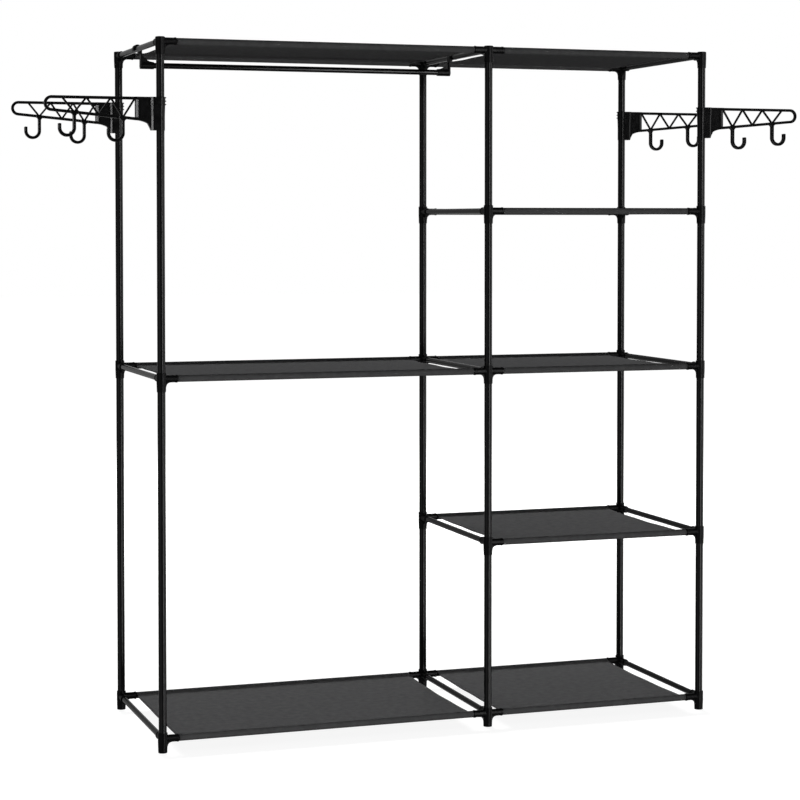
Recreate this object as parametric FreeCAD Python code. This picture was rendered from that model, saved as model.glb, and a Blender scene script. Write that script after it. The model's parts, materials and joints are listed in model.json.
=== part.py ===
import FreeCAD, Part
import math
import os

# Free-standing coat stand: a tube frame with a wide and a narrow bay, cloth shelves, a hanging rod
# below the top of the wide bay, and a hook arm that swivels on each of the four end uprights.
# Millimetres. X runs from the wide bay to the narrow bay, Y from front to back, Z up.
# The origin lies on the floor, below the middle of the stand.

Vector = FreeCAD.Vector
ALONG_X = Vector(1, 0, 0)
ALONG_Y = Vector(0, 1, 0)
ALONG_Z = Vector(0, 0, 1)
same_point = 1e-6  # distance below which two points are one

# Layout, from tube axis to tube axis
wide_bay = 820.0
narrow_bay = 580.0
stand_depth = 480.0
foot_height = 33.0  # floor to the lowest rails
lower_gap = 424.0  # each of the two lower shelf gaps
upper_gap = 394.0  # each of the two upper shelf gaps

# Steel tubes
upright_diameter = 19.0
upright_wall = 0.8
rail_diameter = 14.0
rail_wall = 0.7
rod_diameter = 14.0
rod_wall = 0.8

# Moulded connectors
slip_fit = 0.1  # radial play of a tube in its socket
end_play = 0.1  # play at each end of a tube
sleeve_wall = 1.9
sleeve_rise = 14.0  # sleeve above the rail axis
sleeve_skirt = 31.0  # sleeve below the rail axis
skirt_draft = 0.7  # how much slimmer the skirt is at its hem
stop_web = 2.0  # wall between the two tubes that meet in a sleeve
cap_rise = 10.5  # closed top above the highest rail axis
cap_wall = 2.0
cap_round = 2.5
foot_wall = 3.0
socket_wall = 1.6
socket_reach = 38.0  # upright axis to socket mouth
mouth_bead = 0.7  # how far the bead at a socket mouth stands proud
mouth_bead_length = 4.0
lip_round = 0.8
gusset_radius = 10.0
gusset_thickness = 5.0

# Cloth shelves
cloth_thickness = 0.8
cloth_clearance = 0.3  # between a rail and the sleeve round it
cloth_end_gap = 1.5  # between a shelf's side edge and the socket mouths
seam_setback = 18.0  # rail axis to the seam that closes the sleeve

# Hanging rod and its two brackets
rod_drop = 39.0  # rod axis below the rails that carry it
rod_setback = 16.0  # rod axis behind the middle of the stand
clip_fit = 0.1
clip_wall = 4.0
clip_width = 16.0
clip_mouth_angle = 76.0
clip_mouth_turn = 248.0  # where the mouth points, in degrees from the rod's way over the top
plate_thickness = 3.5
cup_wall = 1.8
cup_length = 30.0
brace_thickness = 4.5
brace_top = 9.0  # start of the brace below the rail axis

# Hook arms
arm_drop = 130.5  # top of a front arm below the highest rail axis
back_arm_lift = 12.0  # how much higher the back arms are set
arm_length = 272.0  # upright axis to the arm's tip
collar_fit = 0.08
collar_wall = 2.4
collar_hem_wall = 1.0
collar_nose = 16.0  # upright axis to the middle of the collar's second round end
collar_height = 77.5
collar_taper = 45.0  # top of the collar to the end of its taper
ring_count = 3
ring_pitch = 8.0
ring_height = 2.6
ring_proud = 1.8
ring_round = 0.6
block_reach = 60.0  # upright axis to the block's free edge
block_depth = 54.5
block_thickness = 12.0
slope_reach = 48.0  # where the block starts to thin towards its free edge
free_edge_thickness = 4.0
heel_reach = 30.5
heel_depth = 61.5
toe_reach = 22.0
truss_tip_depth = 36.5
chord_depth = 7.0
chord_thickness = 6.0
chord_round = 1.2
strut_depth = 4.4
strut_thickness = 4.0
node_count = 7  # zigzag nodes, from the block's free edge on
last_node_setback = 42.0  # arm's tip to the last zigzag node
hooked_nodes = (1, 5)
hook_band = 7.4  # a hook's flat band, in the plane of its bend
hook_breadth = 10.5  # the same band, across the arm
hook_round = 1.6
hook_radius = 17.0  # to the middle of the band
hook_drop = 53.5  # underside of the arm to the bottom of the hook
hook_tip_rise = 9.5
hook_tip_crown = 1.2
hook_root_round = 6.0

# Worked out from the sizes above
upright_radius = upright_diameter / 2
rail_radius = rail_diameter / 2
rod_radius = rod_diameter / 2
sleeve_radius = upright_radius + slip_fit + sleeve_wall
socket_radius = rail_radius + slip_fit + socket_wall
clip_radius = rail_radius + clip_fit + clip_wall
cup_radius = rod_radius + slip_fit + cup_wall
collar_bore_radius = upright_radius + collar_fit
collar_radius = collar_bore_radius + collar_wall
free_foot = Vector(block_reach, 0, -block_depth)
heel = Vector(heel_reach, 0, -heel_depth)
toe = Vector(toe_reach, 0, -collar_height)
truss_tip_radius = truss_tip_depth / 2
node_pitch = (arm_length - last_node_setback - block_reach) / (node_count - 1)

level_names = ("bottom", "second", "third", "fourth", "top")
level_gaps = (lower_gap, lower_gap, upper_gap, upper_gap)
levels = [foot_height + sum(level_gaps[:count]) for count in range(len(level_names))]
wide_levels = (0, 2, 4)
narrow_levels = (0, 1, 2, 3, 4)
top_level = len(level_names) - 1
side_levels = {"left": wide_levels, "middle": narrow_levels, "right": narrow_levels}

half_width = (wide_bay + narrow_bay) / 2
side_x = {"left": -half_width, "middle": wide_bay - half_width, "right": half_width}
face_y = {"front": -stand_depth / 2, "back": stand_depth / 2}
front_arm_top = levels[top_level] - arm_drop
arm_top = {"front": front_arm_top, "back": front_arm_top + back_arm_lift}


def outline(start, *steps):
    """Closed wire: a step is the end of a line, or a pair of a point on an arc and the arc's end."""
    edges = []
    here = start
    for step in steps:
        if isinstance(step, tuple):
            through, end = step
            edges.append(Part.Arc(here, through, end).toShape())
        else:
            end = step
            edges.append(Part.LineSegment(here, end).toShape())
        here = end
    if not here.isEqual(start, same_point):
        edges.append(Part.LineSegment(here, start).toShape())
    return Part.Wire(edges)


def on_circle(centre, radius, degrees):
    """Point of a circle in the XZ plane, with degrees from +X towards +Z."""
    turn = math.radians(degrees)
    return centre + Vector(radius * math.cos(turn), 0, radius * math.sin(turn))


def flare(level_point, end):
    """Middle of the arc that leaves a point along X and ends at another."""
    across = end - level_point
    rise = across - ALONG_X * across.x
    radius = across.Length ** 2 / (2 * rise.Length)
    centre = level_point + rise.normalize() * radius
    middle = level_point + end - centre * 2
    return centre + middle.normalize() * radius


def slab(wire, direction, thickness):
    """A wire's face made solid, with the wire halfway through its thickness."""
    face = Part.Face(wire)
    face.translate(direction * (-thickness / 2))
    return face.extrude(direction * thickness)


def fuse(shapes):
    return shapes[0].multiFuse(shapes[1:]).removeSplitter()


def tube(start, direction, length, radius, wall):
    """Round tube from a point along a direction."""
    outside = Part.makeCylinder(radius, length, start, direction)
    bore = Part.makeCylinder(radius - wall, length, start, direction)
    return outside.cut(bore)


def rounded_corner(corner, inward_x, inward_z, radius):
    """Point on the arc that rounds a corner of a profile in the XZ plane."""
    slant = radius * (1 - math.sqrt(0.5))
    return corner + Vector(inward_x * slant, 0, inward_z * slant)


def sleeve(low, high, top_round):
    """Outside of a connector's upright sleeve, with a drafted skirt and rounded ends."""
    hem = sleeve_radius - skirt_draft
    hem_corner = Vector(hem, 0, low)
    top_corner = Vector(sleeve_radius, 0, high)
    wire = outline(
        Vector(0, 0, low),
        Vector(hem - lip_round, 0, low),
        (rounded_corner(hem_corner, -1, 1, lip_round), Vector(hem, 0, low + lip_round)),
        Vector(sleeve_radius, 0, -socket_radius),
        Vector(sleeve_radius, 0, high - top_round),
        (rounded_corner(top_corner, -1, -1, top_round), Vector(sleeve_radius - top_round, 0, high)),
        Vector(0, 0, high),
    )
    return Part.Face(wire).revolve(Vector(), ALONG_Z, 360)


def socket():
    """Outside of one rail socket along +X, with a beaded mouth."""
    bead = socket_radius + mouth_bead
    bead_start = socket_reach - mouth_bead_length
    mouth_corner = Vector(socket_reach, 0, bead)
    wire = outline(
        Vector(),
        Vector(0, 0, socket_radius),
        Vector(bead_start - mouth_bead, 0, socket_radius),
        Vector(bead_start, 0, bead),
        Vector(socket_reach - lip_round, 0, bead),
        (rounded_corner(mouth_corner, -1, -1, lip_round), Vector(socket_reach, 0, bead - lip_round)),
        Vector(socket_reach, 0, 0),
    )
    return Part.Face(wire).revolve(Vector(), ALONG_X, 360)


def gusset():
    """Concave web under a socket along +X, running down into the sleeve."""
    root = sleeve_radius - skirt_draft - sleeve_wall / 2
    under = -socket_radius
    centre = Vector(sleeve_radius + gusset_radius, 0, under - gusset_radius)
    wire = outline(
        Vector(root, 0, under + socket_wall / 2),
        Vector(centre.x, 0, under + socket_wall / 2),
        Vector(centre.x, 0, under),
        (on_circle(centre, gusset_radius, 135), Vector(sleeve_radius, 0, centre.z)),
        Vector(root, 0, centre.z),
    )
    return slab(wire, ALONG_Y, gusset_thickness)


def connector(kind, turns):
    """Connector round the upright axis, with its rail axes at z = 0 and a socket at each turn in degrees."""
    if kind == "foot":
        low, high, top_round = -foot_height, sleeve_rise, lip_round
        bores = [(low + foot_wall, high)]
    elif kind == "joint":
        low, high, top_round = -sleeve_skirt, sleeve_rise, lip_round
        bores = [(low, -stop_web / 2), (stop_web / 2, high)]
    else:
        low, high, top_round = -sleeve_skirt, cap_rise, cap_round
        bores = [(low, high - cap_wall)]
    walls = [sleeve(low, high, top_round)]
    hollows = []
    for start, end in bores:
        hollows.append(Part.makeCylinder(upright_radius + slip_fit, end - start, Vector(0, 0, start)))
    for turn in turns:
        bore = Part.makeCylinder(rail_radius + slip_fit, socket_reach, Vector(sleeve_radius, 0, 0), ALONG_X)
        for group, shape in ((walls, socket()), (walls, gusset()), (hollows, bore)):
            shape.rotate(Vector(), ALONG_Z, turn)
            group.append(shape)
    return fuse(walls).cut(hollows)


def socket_turns(side, face, level):
    """Directions of a connector's sockets: towards the other face, and along each bay with a shelf there."""
    turns = [90 if face == "front" else 270]
    if side != "right":
        turns.append(0)
    if side == "right" or (side == "middle" and level in wide_levels):
        turns.append(180)
    return turns


def connectors():
    pieces = {}
    kinds = {0: "foot", top_level: "cap"}
    for side, used_levels in side_levels.items():
        for face, y in face_y.items():
            for level in used_levels:
                shape = connector(kinds.get(level, "joint"), socket_turns(side, face, level))
                shape.translate(Vector(side_x[side], y, levels[level]))
                pieces["connector_%s_%s_%s" % (side, face, level_names[level])] = shape
    return pieces


def upright(side, face):
    """The tubes of one upright, each seated in the connectors below and above it."""
    tubes = []
    used_levels = side_levels[side]
    for below, above in zip(used_levels, used_levels[1:]):
        low = foot_wall if below == 0 else levels[below] + stop_web / 2
        high = levels[above] + (cap_rise - cap_wall if above == top_level else -stop_web / 2)
        start = Vector(side_x[side], face_y[face], low + end_play)
        tubes.append(tube(start, ALONG_Z, high - low - 2 * end_play, upright_radius, upright_wall))
    return tubes


def rail(start, direction, span):
    """A rail between two upright axes that lie a span apart."""
    inset = sleeve_radius + end_play
    return tube(start + direction * inset, direction, span - 2 * inset, rail_radius, rail_wall)


def bay_rails(side, span, level):
    """Front and back rail of one shelf, to the right of a side's uprights."""
    return [rail(Vector(side_x[side], y, levels[level]), ALONG_X, span) for y in face_y.values()]


def side_rails(side):
    """The rails from the front to the back upright of one side."""
    starts = [Vector(side_x[side], face_y["front"], levels[level]) for level in side_levels[side]]
    return [rail(start, ALONG_Y, stand_depth) for start in starts]


def shelf(side, span, level):
    """Cloth shelf: a sheet level with the rail axes, whose ends open into sleeves round the two rails."""
    inside = rail_radius + cloth_clearance
    outside = inside + cloth_thickness
    seam = Vector(0, seam_setback, cloth_thickness / 2)
    lean = math.asin(outside / seam.Length) - math.atan2(seam.z, seam.y)
    leave = Vector(0, math.sin(lean), math.cos(lean))
    inner_seam = Vector(0, inside / leave.y, 0)

    def front(point):
        return Vector(0, face_y["front"] + point.y, point.z)

    def back(point):
        return Vector(0, face_y["back"] - point.y, point.z)

    def under(point):
        return Vector(0, point.y, -point.z)

    sheet = outline(
        front(seam),
        back(seam),
        back(leave * outside),
        (back(ALONG_Y * -outside), back(under(leave * outside))),
        back(under(seam)),
        front(under(seam)),
        front(under(leave * outside)),
        (front(ALONG_Y * -outside), front(leave * outside)),
    )
    wires = [sheet]
    for place in (front, back):
        round_rail = (place(ALONG_Y * -inside), place(under(leave * inside)))
        wires.append(outline(place(inner_seam), place(leave * inside), round_rail))
    edge = socket_reach + cloth_end_gap
    cloth = Part.makeFace(wires, "Part::FaceMakerBullseye").extrude(ALONG_X * (span - 2 * edge))
    cloth.translate(Vector(side_x[side] + edge, 0, levels[level]))
    return cloth


def rod_bracket():
    """Bracket clipped on a rail that runs along Y through the origin, holding a rod that leaves along +X."""
    ring = Part.makeCylinder(clip_radius, clip_width, Vector(0, -clip_width / 2, 0), ALONG_Y)
    plate_face = clip_radius - plate_thickness
    plate = slab(outline(
        Vector(plate_face, -clip_width / 2, 0),
        Vector(plate_face, clip_width / 2, 0),
        Vector(plate_face, clip_width / 2, -rod_drop),
        (Vector(plate_face, 0, -rod_drop - clip_width / 2), Vector(plate_face, -clip_width / 2, -rod_drop)),
    ), ALONG_X, plate_thickness)
    plate.translate(ALONG_X * (plate_thickness / 2))
    cup = Part.makeCylinder(cup_radius, plate_thickness + cup_length, Vector(plate_face, 0, -rod_drop), ALONG_X)
    cup_top = cup_radius - rod_drop
    brace_foot = Vector(clip_radius + cup_length - lip_round, 0, cup_top)
    brace_head = Vector(clip_radius, 0, -brace_top)
    brace = slab(outline(
        Vector(plate_face, 0, -brace_top),
        brace_head,
        (flare(brace_foot, brace_head), brace_foot),
        brace_foot - ALONG_Z * cup_wall,
        Vector(plate_face, 0, cup_top - cup_wall),
    ), ALONG_Y, brace_thickness)
    rail_room = Part.makeCylinder(rail_radius + clip_fit, clip_width, Vector(0, -clip_width / 2, 0), ALONG_Y)
    mouth_sides = [
        on_circle(Vector(), 2 * clip_radius, clip_mouth_turn + half * clip_mouth_angle / 2) for half in (-1, 1)
    ]
    mouth = slab(outline(Vector(), *mouth_sides), ALONG_Y, clip_width)
    rod_room = Part.makeCylinder(rod_radius + slip_fit, cup_length, Vector(clip_radius, 0, -rod_drop), ALONG_X)
    return fuse([ring, plate, cup, brace]).cut([rail_room, mouth, rod_room])


def hanging_rod():
    """The rod between its brackets' cups, and the two brackets."""
    left = Vector(side_x["left"], rod_setback, levels[top_level])
    right = Vector(side_x["middle"], rod_setback, levels[top_level])
    inset = clip_radius + end_play
    start = left + Vector(inset, 0, -rod_drop)
    left_bracket = rod_bracket()
    left_bracket.translate(left)
    right_bracket = rod_bracket()
    right_bracket.rotate(Vector(), ALONG_Z, 180)
    right_bracket.translate(right)
    return {
        "hanging_rod": tube(start, ALONG_X, wide_bay - 2 * inset, rod_radius, rod_wall),
        "rod_bracket_left": left_bracket,
        "rod_bracket_right": right_bracket,
    }


def collar_plan(radius, height):
    """Collar's outline from above: round the upright at one end, round its nose at the other."""
    axis = Vector(0, 0, height)
    nose = axis + ALONG_X * collar_nose
    side = ALONG_Y * radius
    return outline(
        axis + side,
        (axis - ALONG_X * radius, axis - side),
        nose - side,
        (nose + ALONG_X * radius, nose + side),
    )


def arm_collar():
    """Collar with rings round its top, tapering to a straight skirt with a slanted outer corner."""
    hem = collar_bore_radius + collar_hem_wall
    taper = Part.makeLoft([collar_plan(collar_radius, 0), collar_plan(hem, -collar_taper)], True, True)
    skirt = Part.Face(collar_plan(hem, -collar_height)).extrude(ALONG_Z * (collar_height - collar_taper))
    rings = []
    for number in range(ring_count):
        plan = collar_plan(collar_radius + ring_proud, -number * ring_pitch)
        ring = Part.Face(plan).extrude(ALONG_Z * -ring_height)
        rims = [edge for edge in ring.Edges if edge.BoundBox.ZLength < ring_round]
        rings.append(ring.makeFillet(ring_round, rims))
    corner = slab(outline(heel, toe, Vector(heel.x, 0, toe.z)), ALONG_Y, 2 * collar_radius)
    return fuse([taper, skirt] + rings).cut(corner)


def arm_block():
    """Block from the collar to the truss, thinner towards its free edge between two full rims."""
    side = outline(
        Vector(),
        Vector(block_reach, 0, 0),
        free_foot,
        (flare(free_foot, heel), heel),
        toe,
        Vector(0, 0, -collar_height),
    )
    root = Vector(0, block_thickness / 2, -collar_height)
    slope = root + ALONG_X * slope_reach
    edge = Vector(block_reach, free_edge_thickness / 2, -collar_height)

    def other(point):
        return Vector(point.x, -point.y, point.z)

    plan = outline(
        root,
        slope,
        (flare(slope, edge), edge),
        other(edge),
        (other(flare(slope, edge)), other(slope)),
        other(root),
    )
    core = slab(side, ALONG_Y, block_thickness).common(Part.Face(plan).extrude(ALONG_Z * collar_height))
    lift = ALONG_Z * chord_depth
    upper_rim = outline(Vector(), Vector(block_reach, 0, 0), Vector(block_reach, 0, -chord_depth), -lift)
    lower_rim = outline(
        free_foot,
        (flare(free_foot, heel), heel),
        heel + lift,
        (flare(free_foot, heel) + lift, free_foot + lift),
    )
    return [core] + [slab(rim, ALONG_Y, block_thickness) for rim in (upper_rim, lower_rim)]


def truss_lines():
    """Centre of the truss's round tip, the way to where the lower chord meets it, and the chord's slope."""
    tip = Vector(arm_length - truss_tip_radius, 0, -truss_tip_radius)
    spoke = free_foot - tip
    turn = math.atan2(spoke.z, spoke.x) + math.acos(truss_tip_radius / spoke.Length)
    return tip, math.degrees(turn), -1 / math.tan(turn)


def chord_underside(reach):
    """Height of the lower chord's underside at a distance from the upright axis."""
    return -block_depth + truss_lines()[2] * (reach - block_reach)


def truss_node(number):
    """Zigzag nodes, in turn on the middle of the upper and the lower chord."""
    reach = block_reach + number * node_pitch
    if number % 2 == 0:
        return Vector(reach, 0, -chord_depth / 2)
    return Vector(reach, 0, chord_underside(reach) + chord_depth / 2)


def strut(start, end):
    """Flat bar between two zigzag nodes."""
    half = (end - start).cross(ALONG_Y).normalize() * (strut_depth / 2)
    return slab(outline(start + half, end + half, end - half, start - half), ALONG_Y, strut_thickness)


def arm_truss():
    """Open truss: a tapering frame with a round tip, filled by a zigzag of struts."""
    tip, low_turn, slope = truss_lines()
    middle_turn = (90 + low_turn) / 2
    root = block_reach - chord_depth
    frame = outline(
        Vector(root, 0, 0),
        on_circle(tip, truss_tip_radius, 90),
        (on_circle(tip, truss_tip_radius, middle_turn), on_circle(tip, truss_tip_radius, low_turn)),
        free_foot,
        Vector(root, 0, chord_depth - block_depth),
    )
    inside = truss_tip_radius - chord_depth
    low_end = on_circle(tip, inside, low_turn)
    window = outline(
        Vector(block_reach, 0, -chord_depth),
        on_circle(tip, inside, 90),
        (on_circle(tip, inside, middle_turn), low_end),
        Vector(block_reach, 0, low_end.z + slope * (block_reach - low_end.x)),
    )
    truss = slab(frame, ALONG_Y, chord_thickness).cut(slab(window, ALONG_Y, chord_thickness))
    long_edges = [
        edge for edge in truss.Edges
        if edge.BoundBox.YLength < chord_round and edge.CenterOfMass.x > block_reach
    ]
    struts = [strut(truss_node(number), truss_node(number + 1)) for number in range(node_count - 1)]
    return [truss.makeFillet(chord_round, long_edges)] + struts


def arm_hook(number):
    """Flat-banded J hook with a flared boss on the lower chord, opening towards the arm's tip."""
    root = truss_node(number)
    under = chord_underside(root.x)
    half = hook_band / 2
    outer = hook_radius + half
    inner = hook_radius - half
    centre = Vector(root.x + hook_radius, 0, under - hook_drop + outer)
    tip = centre + Vector(hook_radius, 0, hook_tip_rise)
    boss = half + hook_root_round
    left_flare = Vector(root.x - boss, 0, chord_underside(root.x - boss) - hook_root_round)
    right_flare = Vector(root.x + boss, 0, chord_underside(root.x + boss) - hook_root_round)
    boss_rise = ALONG_Z * (hook_root_round + chord_depth)
    hook = slab(outline(
        left_flare + boss_rise,
        left_flare + ALONG_Z * hook_root_round,
        (on_circle(left_flare, hook_root_round, 45), left_flare + ALONG_X * hook_root_round),
        centre - ALONG_X * outer,
        (centre - ALONG_Z * outer, centre + ALONG_X * outer),
        tip + ALONG_X * half,
        (tip + ALONG_Z * hook_tip_crown, tip - ALONG_X * half),
        centre + ALONG_X * inner,
        (centre - ALONG_Z * inner, centre - ALONG_X * inner),
        right_flare - ALONG_X * hook_root_round,
        (on_circle(right_flare, hook_root_round, 135), right_flare + ALONG_Z * hook_root_round),
        right_flare + boss_rise,
    ), ALONG_Y, hook_breadth)
    return hook.makeFillet(hook_round, [edge for edge in hook.Edges if edge.BoundBox.YLength < hook_round])


def hook_arm():
    """Hook arm along +X from the upright axis, with its upper face at z = 0."""
    solids = [arm_collar()] + arm_block() + arm_truss()
    solids += [arm_hook(number) for number in hooked_nodes]
    bore = Part.makeCylinder(collar_bore_radius, collar_height, Vector(0, 0, -collar_height))
    return fuse(solids).cut(bore)


def hook_arms():
    pieces = {}
    for side, turn in (("left", 180), ("right", 0)):
        for face, y in face_y.items():
            arm = hook_arm()
            arm.rotate(Vector(), ALONG_Z, turn)
            arm.translate(Vector(side_x[side], y, arm_top[face]))
            pieces["hook_arm_%s_%s" % (side, face)] = arm
    return pieces


def stand():
    """Every piece of the stand by name. Tubes that share a name stay separate solids."""
    pieces = connectors()
    for side in side_x:
        pieces["side_rails_" + side] = Part.makeCompound(side_rails(side))
        for face in face_y:
            pieces["upright_%s_%s" % (side, face)] = Part.makeCompound(upright(side, face))
    for bay, side, span, used_levels in (
        ("wide", "left", wide_bay, wide_levels),
        ("narrow", "middle", narrow_bay, narrow_levels),
    ):
        for level in used_levels:
            name = level_names[level]
            pieces["%s_rails_%s" % (bay, name)] = Part.makeCompound(bay_rails(side, span, level))
            pieces["%s_shelf_%s" % (bay, name)] = shelf(side, span, level)
    pieces.update(hanging_rod())
    pieces.update(hook_arms())
    return pieces


def main():
    os.makedirs("parts", exist_ok=True)
    for name, shape in stand().items():
        shape.exportStep("parts/%s.step" % name)
        print(name, len(shape.Solids), "valid" if shape.isValid() else "NOT VALID", round(shape.Volume))


if __name__ == "__main__":
    main()
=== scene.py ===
# %% [markdown]
# # A coat stand of black tubes, grey cloth and moulded hook arms
#
# This lesson dresses a finished CAD model of a coat stand. Its tubes, connectors, hanging rod and hook
# arms have the right shapes already, so they keep them and get real finishes. The cloth shelves are
# made anew, because a CAD solid can't show how sewn cloth lies on its rails. All sizes are in metres,
# with X to the right, Y to the back and Z up.

# %% Load the stand
import json
import math

import bpy
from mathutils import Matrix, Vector


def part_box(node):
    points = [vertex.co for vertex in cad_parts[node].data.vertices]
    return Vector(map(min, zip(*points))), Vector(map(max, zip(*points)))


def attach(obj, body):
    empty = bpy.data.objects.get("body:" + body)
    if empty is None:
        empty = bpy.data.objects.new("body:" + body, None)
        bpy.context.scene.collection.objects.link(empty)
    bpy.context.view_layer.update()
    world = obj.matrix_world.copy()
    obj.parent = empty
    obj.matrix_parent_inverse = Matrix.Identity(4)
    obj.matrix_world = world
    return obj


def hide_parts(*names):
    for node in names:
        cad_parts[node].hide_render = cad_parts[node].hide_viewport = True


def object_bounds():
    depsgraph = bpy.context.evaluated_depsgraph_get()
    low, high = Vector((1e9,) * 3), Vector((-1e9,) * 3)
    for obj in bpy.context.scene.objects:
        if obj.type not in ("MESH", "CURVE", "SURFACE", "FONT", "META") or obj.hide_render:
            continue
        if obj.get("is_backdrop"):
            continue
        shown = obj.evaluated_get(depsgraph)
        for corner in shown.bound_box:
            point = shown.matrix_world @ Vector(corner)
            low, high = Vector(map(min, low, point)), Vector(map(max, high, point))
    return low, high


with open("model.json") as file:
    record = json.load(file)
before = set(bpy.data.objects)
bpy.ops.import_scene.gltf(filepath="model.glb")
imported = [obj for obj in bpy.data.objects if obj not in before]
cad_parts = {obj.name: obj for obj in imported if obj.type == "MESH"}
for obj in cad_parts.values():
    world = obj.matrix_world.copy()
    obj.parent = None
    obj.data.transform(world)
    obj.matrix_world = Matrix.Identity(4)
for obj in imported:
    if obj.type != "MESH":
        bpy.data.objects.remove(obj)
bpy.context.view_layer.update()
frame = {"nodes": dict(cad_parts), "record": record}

slot_of_node = {part["node"]: part["material_slot"] for part in frame["record"]["subparts"]}

# %% [markdown]
# ## Finishes that are built from nodes
#
# Every finish here is a small node tree on Blender's own surface shader. A few helpers keep the trees
# short. They start a finish, add a node together with its settings, reckon with two values, read a
# noise, stretch it to a range, mix two shades by it and raise a relief from it.

# %% Helpers for node trees
def new_finish(name):
    """A node material, its tree and its surface shader."""
    finish = bpy.data.materials.new(name)
    finish.use_nodes = True
    return finish, finish.node_tree, finish.node_tree.nodes["Principled BSDF"]


def add_node(tree, kind, values=None, **settings):
    """A node with its settings, and values for the inputs that stay unlinked."""
    node = tree.nodes.new(kind)
    for name, value in settings.items():
        setattr(node, name, value)
    for name, value in (values or {}).items():
        node.inputs[name].default_value = value
    return node


def combine(tree, operation, one, other):
    """A sum, product or the like of two outputs."""
    node = add_node(tree, "ShaderNodeMath", operation=operation)
    tree.links.new(one, node.inputs[0])
    tree.links.new(other, node.inputs[1])
    return node.outputs["Value"]


print("node helpers ready")

# %% Helpers for noise and relief
noise_low, noise_high = 0.3, 0.7  # most of a noise lies between these values


def add_noise(tree, place, scale, detail=2.0):
    """Noise of so many spots in a metre, read at a place."""
    noise = add_node(tree, "ShaderNodeTexNoise", {"Scale": scale, "Detail": detail})
    tree.links.new(place, noise.inputs["Vector"])
    return noise.outputs["Fac"]


def fit_range(tree, amount, from_low, from_high, to_low, to_high):
    """Carries one range of values over to another."""
    ends = {"From Min": from_low, "From Max": from_high, "To Min": to_low, "To Max": to_high}
    fit = add_node(tree, "ShaderNodeMapRange", ends)
    tree.links.new(amount, fit.inputs["Value"])
    return fit.outputs["Result"]


def between(tree, amount, low, high):
    """Stretches the middle of a noise to a range of values."""
    return fit_range(tree, amount, noise_low, noise_high, low, high)


def shade_between(tree, amount, dark, light):
    """A colour that drifts between two shades."""
    mix = add_node(tree, "ShaderNodeMix", data_type="RGBA")
    mix.inputs["A"].default_value = (*dark, 1)
    mix.inputs["B"].default_value = (*light, 1)
    tree.links.new(between(tree, amount, 0.0, 1.0), mix.inputs["Factor"])
    return mix.outputs["Result"]


def raise_surface(tree, shader, height, strength, depth):
    """Relief of a real depth on the shader's surface."""
    bump = add_node(tree, "ShaderNodeBump", {"Strength": strength, "Distance": depth})
    tree.links.new(height, bump.inputs["Height"])
    tree.links.new(bump.outputs["Normal"], shader.inputs["Normal"])


print("a noise is read from", noise_low, "to", noise_high)

# %% [markdown]
# ## Black powder coat
#
# The tubes are thin steel, sprayed with powder and baked. Such a coat is black and half glossy, with a
# fine orange-peel skin of about a millimetre. In a white room a black tube only stays black if it gives
# little of the room back, so its mirror share is low, and strong cards among the lights draw the stripes
# that show the gloss. The gloss changes slowly along a tube, as it does where hands have held it, so
# roughness follows a coarse noise and the relief a fine one.

# %% Powder coat for the tubes
def powder_coat():
    finish, tree, shader = new_finish("black_powder_coat")
    place = add_node(tree, "ShaderNodeTexCoord").outputs["Object"]
    shader.inputs["Specular IOR Level"].default_value = 0.03
    dark, light = (0.0018, 0.0018, 0.0020), (0.0036, 0.0036, 0.0039)
    colour = shade_between(tree, add_noise(tree, place, 55.0), dark, light)
    tree.links.new(colour, shader.inputs["Base Color"])
    gloss = between(tree, add_noise(tree, place, 24.0, 3.0), 0.15, 0.22)
    tree.links.new(gloss, shader.inputs["Roughness"])
    raise_surface(tree, shader, add_noise(tree, place, 900.0), strength=0.10, depth=0.0001)
    return finish


tube_coat = powder_coat()
print("tubes:", tube_coat.name)

# %% [markdown]
# ## Moulded plastic, satin and glossy
#
# The connectors come out of a mould with a grained skin, which takes the shine off them. The hook arms
# come out of a polished mould and stay glossier. One function makes both, with the grain's size and the
# gloss as its settings.

# %% Plastic for the connectors and the hook arms
def moulded_plastic(name, grain, grain_depth, rough_low, rough_high, shine):
    finish, tree, shader = new_finish(name)
    place = add_node(tree, "ShaderNodeTexCoord").outputs["Object"]
    shader.inputs["Specular IOR Level"].default_value = shine
    dark, light = (0.0014, 0.0014, 0.0015), (0.0028, 0.0028, 0.0030)
    colour = shade_between(tree, add_noise(tree, place, 120.0), dark, light)
    tree.links.new(colour, shader.inputs["Base Color"])
    gloss = between(tree, add_noise(tree, place, 70.0, 3.0), rough_low, rough_high)
    tree.links.new(gloss, shader.inputs["Roughness"])
    raise_surface(tree, shader, add_noise(tree, place, grain, 3.0), strength=0.25, depth=grain_depth)
    return finish


connector_plastic = moulded_plastic(
    "connector_plastic", grain=2200.0, grain_depth=0.0001, rough_low=0.30, rough_high=0.42, shine=0.015
)
hook_plastic = moulded_plastic(
    "hook_plastic", grain=700.0, grain_depth=0.00006, rough_low=0.14, rough_high=0.22, shine=0.02
)
print("plastics:", connector_plastic.name, hook_plastic.name)

# %% Give the CAD pieces their finishes
finish_of_slot = {
    "black_tube": tube_coat,
    "connector_plastic": connector_plastic,
    "hook_plastic": hook_plastic,
}
finished = 0
for name, piece in frame["nodes"].items():
    finish = finish_of_slot.get(slot_of_node[name])
    if finish:
        piece.data.materials.clear()
        piece.data.materials.append(finish)
        finished += 1
print("CAD pieces finished:", finished)

# %% [markdown]
# ## Non-woven cloth
#
# The shelves are a grey non-woven cloth: matted fibres, pressed together at rows of small points. It
# has no threads that cross, so a weave would be wrong. The finish layers three things in the cloth's
# own flat measure, which the mesh carries as its UV map in metres: the pressed points, the fibres that
# lie every way, and the cloudy patches where the mat is thicker or thinner.

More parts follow.
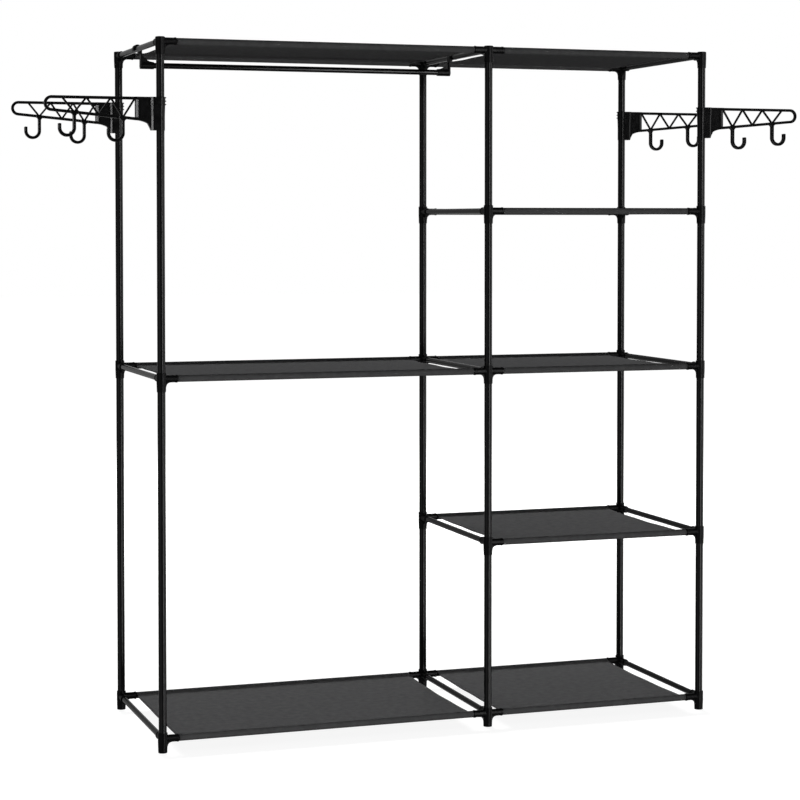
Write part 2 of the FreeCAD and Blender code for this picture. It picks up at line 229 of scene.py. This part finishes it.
# %% Fibres and pressed points
fibre_turns = (0.35, 1.25, 2.3)
fibre_scale = (320.0, 4200.0, 1.0)  # spots in a metre, along and across a fibre
point_scale = (760.0, 760.0, 1.0)  # points in a metre


def matted_fibres(tree, flat):
    """Layers of long, thin noise, each turned another way."""
    mat = None
    for turn in fibre_turns:
        lay = add_node(tree, "ShaderNodeMapping", {"Rotation": (0, 0, turn), "Scale": fibre_scale})
        tree.links.new(flat, lay.inputs["Vector"])
        layer = add_noise(tree, lay.outputs["Vector"], 1.0, 1.0)
        mat = combine(tree, "MAXIMUM", mat, layer) if mat else layer
    return mat


def pressed_points(tree, flat):
    """Nought in the small pits of a slanted grid, one between them."""
    slant = (0, 0, math.radians(45))
    grid = add_node(tree, "ShaderNodeMapping", {"Rotation": slant, "Scale": point_scale})
    tree.links.new(flat, grid.inputs["Vector"])
    evenly = {"Scale": 1.0, "Randomness": 0.0}
    points = add_node(tree, "ShaderNodeTexVoronoi", evenly, voronoi_dimensions="2D")
    tree.links.new(grid.outputs["Vector"], points.inputs["Vector"])
    return fit_range(tree, points.outputs["Distance"], 0.16, 0.30, 0.0, 1.0)


print("layers of fibres:", len(fibre_turns), "pressed points in a metre:", point_scale[0])

# %% Cloth for the shelves
def shelf_cloth_finish():
    finish, tree, shader = new_finish("grey_non_woven_cloth")
    shader.inputs["Specular IOR Level"].default_value = 0.0
    flat = add_node(tree, "ShaderNodeUVMap", uv_map="flat_cut").outputs["UV"]
    mat = matted_fibres(tree, flat)
    height = combine(tree, "MULTIPLY", mat, pressed_points(tree, flat))
    dark, light = (0.057, 0.057, 0.058), (0.071, 0.071, 0.072)
    clouds = shade_between(tree, add_noise(tree, flat, 60.0, 4.0), dark, light)
    dim = add_node(tree, "ShaderNodeMix", data_type="RGBA", blend_type="MULTIPLY")
    dim.inputs["Factor"].default_value = 1.0
    tree.links.new(clouds, dim.inputs["A"])
    tree.links.new(between(tree, height, 0.90, 1.06), dim.inputs["B"])
    tree.links.new(dim.outputs["Result"], shader.inputs["Base Color"])
    tree.links.new(between(tree, mat, 0.58, 0.74), shader.inputs["Roughness"])
    raise_surface(tree, shader, height, strength=0.35, depth=0.0003)
    return finish


cloth_finish = shelf_cloth_finish()
print("cloth:", cloth_finish.name)

# %% [markdown]
# ## Sewn shelves
#
# Each shelf is one rectangle of cloth. Its front and back ends go round a rail and come back under the
# sheet, where a seam closes them into sleeves. The sheet leaves the sleeves at the height of the rail's
# middle, so a sleeve stands proud above and below it. The two free sides are turned under as hems.
# A path in the YZ plane gives the cross-section, and the mesh repeats it along X. Between the rails
# the cloth dips by a few millimetres under its own weight, and its free sides draw in a little.

# %% Cross-section of a shelf
cloth_thickness = 0.0008
seam_setback = 0.018  # rail's middle to the seam
seam_allowance = 0.008
seam_edge = 0.0015  # flat cloth between the seam and the bend of its sleeve
hem_width = 0.010
lapped = -1.1 * cloth_thickness  # height of the end that lies under the sheet
lower_bend = ((0.12, 0.10), (0.55, 0.55))  # shares of the way from the seam down to the rail
upper_bend = ((0.45, 0.45), (0.88, 0.90))  # and from the rail down to the sheet


def sleeve_path(radius, steps=26):
    """One sleeve from its sewn end round the rail to the sheet, as inward distance and height."""
    points = [(seam_setback + seam_allowance, lapped), (seam_setback + 0.5 * seam_allowance, lapped)]
    reach_low = math.hypot(seam_setback, lapped)
    low_turn = math.atan2(lapped, seam_setback) - math.acos(radius / reach_low)
    high_turn = math.acos(radius / seam_setback) - 2 * math.pi
    lowest = (radius * math.cos(low_turn), radius * math.sin(low_turn))
    points.append((seam_setback + seam_edge, lapped))
    for along, down in lower_bend:
        inward = seam_setback + (lowest[0] - seam_setback) * along
        points.append((inward, lapped + (lowest[1] - lapped) * down))
    for step in range(steps + 1):
        turn = low_turn + (high_turn - low_turn) * step / steps
        points.append((radius * math.cos(turn), radius * math.sin(turn)))
    highest = points[-1]
    for along, down in upper_bend:
        points.append((highest[0] + (seam_setback - highest[0]) * along, highest[1] * (1 - down)))
    points.append((seam_setback + seam_edge, 0.0))
    return points


print("cloth:", cloth_thickness, "seam:", seam_setback, "from the rail's middle, hem:", hem_width)

# %% Lay the cloth on its rails
least_sag, sag_step = 0.0022, 0.0002  # the shelves differ a little
edge_flutter, flutter_reach = 0.0005, 0.05  # waves of a free side, and how far in they go
flutter_waves = 17.0  # of a free side, from front to back
side_draw, draw_reach = 0.0016, 0.12  # how much a free side draws in, and how far in it is felt
slack_share, slack_waves = 0.18, 9.0  # how the sag changes along X
wave_shift = 1.7  # from one shelf to the next


def lie_of_cloth(shelf_number, low, high, level, front, back):
    """A function that says where a point of the flat sheet lies once it is hung between its rails."""
    sag = least_sag + sag_step * (shelf_number % 3)
    wave = wave_shift * shelf_number

    def lie(x, y, z):
        span = back - front - 2 * seam_setback
        share = min(max((y - front - seam_setback) / span, 0.0), 1.0)
        dip = 4 * share * (1 - share)
        from_side = min(x - low.x, high.x - x)
        ripple = math.sin(flutter_waves * share + wave)
        flutter = edge_flutter * math.exp(-max(from_side, 0.0) / flutter_reach) * ripple
        slack = 1.0 + slack_share * math.sin(slack_waves * x + wave)
        towards_middle = 1 if x < (low.x + high.x) / 2 else -1
        draw_in = side_draw * dip * math.exp(-max(from_side, 0.0) / draw_reach)
        return Vector((x + towards_middle * draw_in, y, level + z - sag * slack * dip + flutter * dip))

    return lie


print("sag:", least_sag, "to", least_sag + 2 * sag_step)

# %% Rows of the sheet and its hems
def spread(first, last, step):
    """Even places from first to last, about a step apart."""
    count = max(2, round(abs(last - first) / step))
    return [first + (last - first) * number / count for number in range(count + 1)]


sheet_step = 0.016  # between the rows of the sheet
column_step = 0.007
hem_lapped = -1.12 * cloth_thickness
hem_fold = [(0.0, 0.0), (-0.0003, hem_lapped * 0.25), (-0.0003, hem_lapped * 0.75)]
hem_fold += [(0.0, hem_lapped), (0.5 * hem_width, hem_lapped), (hem_width, hem_lapped)]


def shelf_path(radius, front, back):
    """A whole cross-section, and how far along the cloth each of its points lies."""
    path = [(front + inward, z) for inward, z in sleeve_path(radius)]
    sheet_start, sheet_end = path[-1][0], back - (path[-1][0] - front)
    path += [(y, 0.0) for y in spread(sheet_start, sheet_end, sheet_step)[1:-1]]
    path += [(back - inward, z) for inward, z in reversed(sleeve_path(radius))]
    runs = [0.0]
    for here, there in zip(path, path[1:]):
        runs.append(runs[-1] + math.dist(here, there))
    return path, runs


def hem_rows(lie, edge, inward, front, back):
    """The fold along a free side, as rows of places with their flat places."""
    end = seam_setback + seam_allowance
    rows = []
    for y in spread(front + end, back - end, sheet_step):
        row = []
        for in_by, z in hem_fold:
            row.append((lie(edge + inward * in_by, y, z), (edge - inward * in_by, y - front)))
        rows.append(row[::-1] if inward == 1 else row)
    return rows


print("points in a fold:", len(hem_fold))

# %% From rows to an object
def put(name, data):
    """A new object in the scene."""
    thing = bpy.data.objects.new(name, data)
    bpy.context.collection.objects.link(thing)
    return thing


def add_grid(vertices, faces, flats, rows):
    """Adds a grid of (place, flat place) rows to the lists of a mesh."""
    start = len(vertices)
    width = len(rows[0])
    for row in rows:
        vertices += [place for place, flat in row]
        flats += [flat for place, flat in row]
    for r in range(len(rows) - 1):
        for c in range(width - 1):
            corner = start + r * width + c
            faces.append((corner, corner + width, corner + width + 1, corner + 1))


def cloth_object(name, grids):
    """One piece of cloth from several grids, with its flat cut as UV map and its real thickness."""
    vertices, faces, flats = [], [], []
    for rows in grids:
        add_grid(vertices, faces, flats, rows)
    mesh = bpy.data.meshes.new(name)
    mesh.from_pydata(vertices, [], faces)
    chart = mesh.uv_layers.new(name="flat_cut")
    for loop in mesh.loops:
        chart.data[loop.index].uv = flats[loop.vertex_index]
    for face in mesh.polygons:
        face.use_smooth = True
    mesh.materials.append(cloth_finish)
    cloth = put(name, mesh)
    thicken = cloth.modifiers.new("cloth_thickness", "SOLIDIFY")
    thicken.thickness = cloth_thickness
    thicken.offset = 0.0
    return cloth


print("cloth is", cloth_thickness * 1000, "mm thick")

# %% Where the stitches run
stitch_step = 0.012  # between the points of a line
seam_inset, hem_inset = 0.003, 0.7 * hem_width  # from the seam and from a free side to their stitches
line_end = 0.002  # from a free side to the first stitch of a seam
thread_height = 0.55 * cloth_thickness  # from the middle of the cloth


def stitch_lines(lie, low, high, front, back):
    """Lines along both seams and both hems, on the upper and the lower face of the cloth."""
    heights = (thread_height, hem_lapped - thread_height)
    seam_front, seam_back = front + seam_setback, back - seam_setback
    along_seam = spread(low.x + line_end, high.x - line_end, stitch_step)
    along_hem = spread(seam_front + 2 * seam_inset, seam_back - 2 * seam_inset, stitch_step)
    lines = []
    for y in (seam_front + seam_inset, seam_back - seam_inset):
        lines += [[lie(x, y, z) for x in along_seam] for z in heights]
    for x in (low.x + hem_inset, high.x - hem_inset):
        lines += [[lie(x, y, z) for y in along_hem] for z in heights]
    return lines


print("stitches run", seam_inset, "inside the seams")

# %% Sew every shelf
def sew_shelf(name, shelf_number):
    """The cloth of one shelf, the lines that it is stitched along, and its flat size."""
    low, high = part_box(name)
    outside = (high.z - low.z) / 2
    radius = outside - cloth_thickness / 2
    level = (low.z + high.z) / 2
    front, back = low.y + outside, high.y - outside
    lie = lie_of_cloth(shelf_number, low, high, level, front, back)
    path, runs = shelf_path(radius, front, back)
    columns = spread(low.x, high.x, column_step)
    grids = [[[(lie(x, y, z), (x, run)) for x in columns] for (y, z), run in zip(path, runs)]]
    for edge, inward in ((low.x, 1), (high.x, -1)):
        grids.append(hem_rows(lie, edge, inward, front, back))
    cloth = cloth_object(name + "_cloth", grids)
    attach(cloth, "stand")
    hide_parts(name)
    flat_size = (high.x - low.x + 2 * hem_width, runs[-1])
    return cloth, stitch_lines(lie, low, high, front, back), flat_size


shelf_names = sorted(name for name in frame["nodes"] if slot_of_node[name] == "shelf_cloth")
shelves = {}
for number, name in enumerate(shelf_names):
    shelves[name] = sew_shelf(name, number)
    print(name, "cut to", [round(side, 3) for side in shelves[name][2]])

# %% [markdown]
# ## Stitches
#
# A lockstitch shows as a row of short threads on both faces of the cloth. There are thousands of them
# along the seams and hems, so Geometry Nodes set them out: the lines become curves, points are placed
# along them at the stitch length, and one small thread is set on each point, turned along its line.

# %% Thread for the stitches
def thread_finish():
    finish, tree, shader = new_finish("dark_grey_thread")
    place = add_node(tree, "ShaderNodeTexCoord").outputs["Object"]
    shader.inputs["Specular IOR Level"].default_value = 0.3
    shader.inputs["Sheen Weight"].default_value = 0.1
    dark, light = (0.030, 0.030, 0.031), (0.052, 0.052, 0.053)
    colour = shade_between(tree, add_noise(tree, place, 1500.0), dark, light)
    tree.links.new(colour, shader.inputs["Base Color"])
    gloss = between(tree, add_noise(tree, place, 3000.0), 0.5, 0.7)
    tree.links.new(gloss, shader.inputs["Roughness"])
    ply = add_node(tree, "ShaderNodeTexWave", {"Scale": 1400.0}, bands_direction="DIAGONAL")
    tree.links.new(place, ply.inputs["Vector"])
    raise_surface(tree, shader, ply.outputs["Fac"], strength=0.4, depth=0.0001)
    return finish


thread = thread_finish()
print("thread:", thread.name)

# %% Geometry Nodes that set the stitches
stitch_measures = {"Stitch Pitch": 0.0042, "Stitch Length": 0.0034, "Thread Thickness": 0.0006}


def stitch_tree(material):
    """A tree that sets threads along the edges of a mesh, and the identifiers of its sizes."""
    tree = bpy.data.node_groups.new("rows_of_stitches", "GeometryNodeTree")
    face = tree.interface
    face.new_socket("Geometry", in_out="INPUT", socket_type="NodeSocketGeometry")
    sizes = {}
    for name, value in stitch_measures.items():
        socket = face.new_socket(name, in_out="INPUT", socket_type="NodeSocketFloat")
        socket.default_value = value
        sizes[name] = socket.identifier
    face.new_socket("Geometry", in_out="OUTPUT", socket_type="NodeSocketGeometry")
    given = add_node(tree, "NodeGroupInput")
    made = add_node(tree, "NodeGroupOutput")
    curves = add_node(tree, "GeometryNodeMeshToCurve")
    places = add_node(tree, "GeometryNodeCurveToPoints", mode="LENGTH")
    bead = add_node(tree, "GeometryNodeMeshUVSphere", {"Segments": 6, "Rings": 4, "Radius": 0.5})
    shape = add_node(tree, "ShaderNodeCombineXYZ")
    sew = add_node(tree, "GeometryNodeInstanceOnPoints")
    smooth = add_node(tree, "GeometryNodeSetShadeSmooth")
    realize = add_node(tree, "GeometryNodeRealizeInstances")
    paint = add_node(tree, "GeometryNodeSetMaterial", {"Material": material})
    link = tree.links.new
    link(given.outputs["Geometry"], curves.inputs["Mesh"])
    link(curves.outputs["Curve"], places.inputs["Curve"])
    link(given.outputs["Stitch Pitch"], places.inputs["Length"])
    link(given.outputs["Thread Thickness"], shape.inputs["X"])
    link(given.outputs["Thread Thickness"], shape.inputs["Y"])
    link(given.outputs["Stitch Length"], shape.inputs["Z"])
    link(places.outputs["Points"], sew.inputs["Points"])
    link(places.outputs["Rotation"], sew.inputs["Rotation"])
    link(bead.outputs["Mesh"], sew.inputs["Instance"])
    link(shape.outputs["Vector"], sew.inputs["Scale"])
    link(sew.outputs["Instances"], smooth.inputs["Geometry"])
    link(smooth.outputs["Geometry"], realize.inputs["Geometry"])
    link(realize.outputs["Geometry"], paint.inputs["Geometry"])
    link(paint.outputs["Geometry"], made.inputs["Geometry"])
    return tree, sizes


stitches, stitch_sizes = stitch_tree(thread)
print("inputs of the stitch tree:", list(stitch_sizes))

# %% Stitch every shelf
def stitch_shelf(name, lines):
    """Rows of stitches along a shelf's lines, as one plain mesh."""
    guide_mesh = bpy.data.meshes.new(name + "_lines")
    vertices, edges = [], []
    for line in lines:
        start = len(vertices)
        vertices += line
        edges += [(start + step, start + step + 1) for step in range(len(line) - 1)]
    guide_mesh.from_pydata(vertices, edges, [])
    guide = put(name + "_lines", guide_mesh)
    rows = guide.modifiers.new("rows_of_stitches", "NODES")
    rows.node_group = stitches
    for measure, value in stitch_measures.items():
        rows[stitch_sizes[measure]] = value
    evaluated = guide.evaluated_get(bpy.context.evaluated_depsgraph_get())
    sewn_mesh = bpy.data.meshes.new_from_object(evaluated)
    bpy.data.objects.remove(guide)
    sewn = put(name + "_stitches", sewn_mesh)
    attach(sewn, "stand")
    return sewn


for name, (cloth, lines, cut) in shelves.items():
    sewn = stitch_shelf(name, lines)
    print(sewn.name, "faces:", len(sewn.data.polygons))

# %% [markdown]
# ## A white studio
#
# Black tubes and grey cloth stand on a white ground. The ground and the far wall only have to look
# white to the camera and in reflections: as a source of light they stay dim, because a floor that
# really shone would lift the undersides of the shelves. So the world and the floor ask what kind of
# ray is looking. The dome is brighter above and behind the stand than in front of it, which leaves the
# fronts of the sleeves darker than the sheets. The floor darkens where the stand keeps the light from
# it. Gloss looks through the floor to the same white, so that a card can reach down below the ground
# and carry its stripe to the feet of the uprights.

# %% World
white = (1, 1, 1, 1)


def looked_at(tree):
    """One for rays from the camera, from gloss and through glass, nought for rays that carry light."""
    path = add_node(tree, "ShaderNodeLightPath")
    seen = path.outputs["Is Camera Ray"]
    for kind in ("Is Glossy Ray", "Is Transmission Ray"):
        seen = combine(tree, "MAXIMUM", seen, path.outputs[kind])
    return seen


def white_world(brightest_way, brightest):
    """White to look at, and a dome of light that is brightest above and behind the stand."""
    world = bpy.data.worlds.new("white_studio")
    world.use_nodes = True
    tree = world.node_tree
    dome = tree.nodes["Background"]
    dome.inputs["Color"].default_value = white
    way = add_node(tree, "ShaderNodeTexCoord").outputs["Generated"]
    behind = add_node(tree, "ShaderNodeVectorMath", operation="DOT_PRODUCT")
    tree.links.new(way, behind.inputs[0])
    behind.inputs[1].default_value = brightest_way
    glow = fit_range(tree, behind.outputs["Value"], -0.3, 1.0, 0.0, brightest)
    height = add_node(tree, "ShaderNodeSeparateXYZ")
    tree.links.new(way, height.inputs["Vector"])
    above = add_node(tree, "ShaderNodeMath", {1: 0.0}, operation="GREATER_THAN")
    tree.links.new(height.outputs["Z"], above.inputs[0])
    tree.links.new(combine(tree, "MULTIPLY", glow, above.outputs["Value"]), dome.inputs["Strength"])
    wall = add_node(tree, "ShaderNodeBackground", {"Color": white, "Strength": 1.0})
    mix = add_node(tree, "ShaderNodeMixShader")
    tree.links.new(looked_at(tree), mix.inputs["Fac"])
    tree.links.new(dome.outputs["Background"], mix.inputs[1])
    tree.links.new(wall.outputs["Background"], mix.inputs[2])
    tree.links.new(mix.outputs["Shader"], tree.nodes["World Output"].inputs["Surface"])
    return world


bpy.context.scene.world = white_world(brightest_way=(0.0, 0.6, 0.8), brightest=0.34)
print("world:", bpy.context.scene.world.name)

# %% Floor
def stage_sheet(name, corners, finish):
    """A flat sheet of the studio, which is no part of the stand."""
    mesh = bpy.data.meshes.new(name)
    mesh.from_pydata(corners, [], [(0, 1, 2, 3)])
    mesh.materials.append(finish)
    sheet = put(name, mesh)
    sheet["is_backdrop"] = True
    return sheet


def floor_finish(shade, dimmest, shadow_reach, fade_end):
    """Pale ground with the stand's shadow, which fades to plain white further out."""
    finish, tree, shader = new_finish("white_floor")
    tree.nodes.remove(shader)
    ground = add_node(tree, "ShaderNodeBsdfDiffuse", {"Color": (shade, shade, shade, 1)})
    lift = add_node(tree, "ShaderNodeEmission", {"Color": white})
    away = add_node(tree, "ShaderNodeVectorMath", operation="LENGTH")
    tree.links.new(add_node(tree, "ShaderNodeTexCoord").outputs["Object"], away.inputs[0])
    fade = fit_range(tree, away.outputs["Value"], shadow_reach, fade_end, dimmest, 1.0)
    tree.links.new(combine(tree, "MULTIPLY", looked_at(tree), fade), lift.inputs["Strength"])
    both = add_node(tree, "ShaderNodeAddShader")
    tree.links.new(ground.outputs["BSDF"], both.inputs[0])
    tree.links.new(lift.outputs["Emission"], both.inputs[1])
    tree.links.new(both.outputs["Shader"], tree.nodes["Material Output"].inputs["Surface"])
    return finish


far = 30.0
ground_corners = [(-far, -far, 0), (far, -far, 0), (far, far, 0), (-far, far, 0)]
ground_finish = floor_finish(shade=0.22, dimmest=0.91, shadow_reach=0.70, fade_end=0.93)
floor = stage_sheet("studio_floor", ground_corners, ground_finish)
floor.visible_glossy = False
floor.visible_shadow = False
print("floor:", floor.name)

# %% [markdown]
# ## Lights
#
# Cloth and black gloss need different lamps. A large softbox, high behind the stand, lights the tops of
# the shelves evenly, and a strip along the ground lifts the front sleeves. Neither shows in gloss, where
# it would eat into the thin struts of the arms. A black tube is drawn by what it reflects, so three tall
# cards do the opposite and show in gloss alone: one to the right of the camera draws a light stripe
# along the right of each upright, one at the far right a dimmer band beside it, and one on the left a
# faint sheen. A low, bright card of their own lights the sloped edges of the two left arms: light linking
# keeps it off everything else.

# %% Softboxes for the cloth
def softbox(name, place, aim, width, height, brightness):
    """A rectangular lamp that looks at a point, with the brightness of its face."""
    lamp = bpy.data.lights.new(name, "AREA")
    lamp.shape = "RECTANGLE"
    lamp.size = width
    lamp.size_y = height
    lamp.energy = brightness * math.pi * width * height
    box = put(name, lamp)
    box.location = place
    box.rotation_mode = "QUATERNION"
    box.rotation_quaternion = (Vector(aim) - Vector(place)).to_track_quat("-Z", "Y")
    box.visible_camera = False
    return box


middle = (0.0, 0.0, 0.85)
strip_height = 0.016
back_softbox = softbox("back_softbox", (0.3, 5.57, 3.33), middle, width=3.4, height=1.4, brightness=51.0)
low_fill = softbox(
    "low_fill", (-0.4, -4.6, strip_height), (0.0, 0.0, strip_height),
    width=3.0, height=0.03, brightness=480.0,
)
for lamp in (back_softbox, low_fill):
    lamp.visible_glossy = False
    print(lamp.name, "lights the cloth")

# %% Cards for the gloss
arm_level = 1.8
front_card = softbox("front_card", (1.5, -4.1, 0.9), middle, width=1.1, height=4.6, brightness=48.0)
side_card = softbox("side_card", (4.6, -1.4, 0.8), middle, width=2.6, height=4.2, brightness=10.0)
left_card = softbox("left_card", (-4.2, -2.6, 0.8), middle, width=3.6, height=4.2, brightness=3.0)
arm_card = softbox(
    "arm_card", (-3.5, -3.4, arm_level), (0.0, 0.0, arm_level),
    width=3.6, height=0.8, brightness=130.0,
)
for card in (front_card, side_card, left_card, arm_card):
    card.visible_diffuse = False
    print(card.name, "shows in gloss")
left_arms = bpy.data.collections.new("left_arms")
for name in ("hook_arm_left_front", "hook_arm_left_back"):
    left_arms.objects.link(frame["nodes"][name])
arm_card.light_linking.receiver_collection = left_arms

# %% [markdown]
# ## A grey flag
#
# The rails that run from front to back are seen almost along their length, and at such a glancing angle
# even a black coat mirrors the white wall behind it. A darker wall would cure that, but it would spoil
# the white ground as well. Photographers hang a darker sheet there instead, which they call a flag. This
# one is a light grey and shows in gloss alone: the camera and the light pass through it.

# %% Flag behind the stand
def flag_finish(brightness):
    finish, tree, shader = new_finish("grey_flag")
    tree.nodes.remove(shader)
    glow = add_node(tree, "ShaderNodeEmission", {"Color": white, "Strength": brightness})
    tree.links.new(glow.outputs["Emission"], tree.nodes["Material Output"].inputs["Surface"])
    return finish


side, behind, low, high = 4.2, 6.5, -3.4, 5.2
flag_corners = [(-side, behind, low), (side, behind, low), (side, behind, high), (-side, behind, high)]
flag = stage_sheet("grey_flag", flag_corners, flag_finish(0.6))
flag.visible_camera = False
flag.visible_diffuse = False
flag.visible_transmission = False
flag.visible_shadow = False
print("flag:", flag.name)

# %% [markdown]
# ## Camera
#
# The camera stands in front of the stand and to its left, at about three quarters of its height, with
# a long lens. It looks down by two degrees, and a small shift brings the rest of the stand into the
# picture, so that the uprights stay nearly parallel.

# %% Camera
look_down, turn_right = 1.982, 18.989  # degrees
lens = bpy.data.cameras.new("camera")
lens.sensor_width = 36.0
lens.lens = 96.76
lens.shift_y = -0.13
camera = put("camera", lens)
camera.location = (-1.8055, -5.1679, 1.2489)
camera.rotation_euler = (math.radians(90 - look_down), 0.0, math.radians(-turn_right))
bpy.context.scene.camera = camera
bpy.context.scene.view_settings.view_transform = "Standard"
print("camera at", [round(v, 3) for v in camera.location])

# %% Size of the dressed stand
low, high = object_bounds()
print("dressed size:", [round(v, 4) for v in high - low])
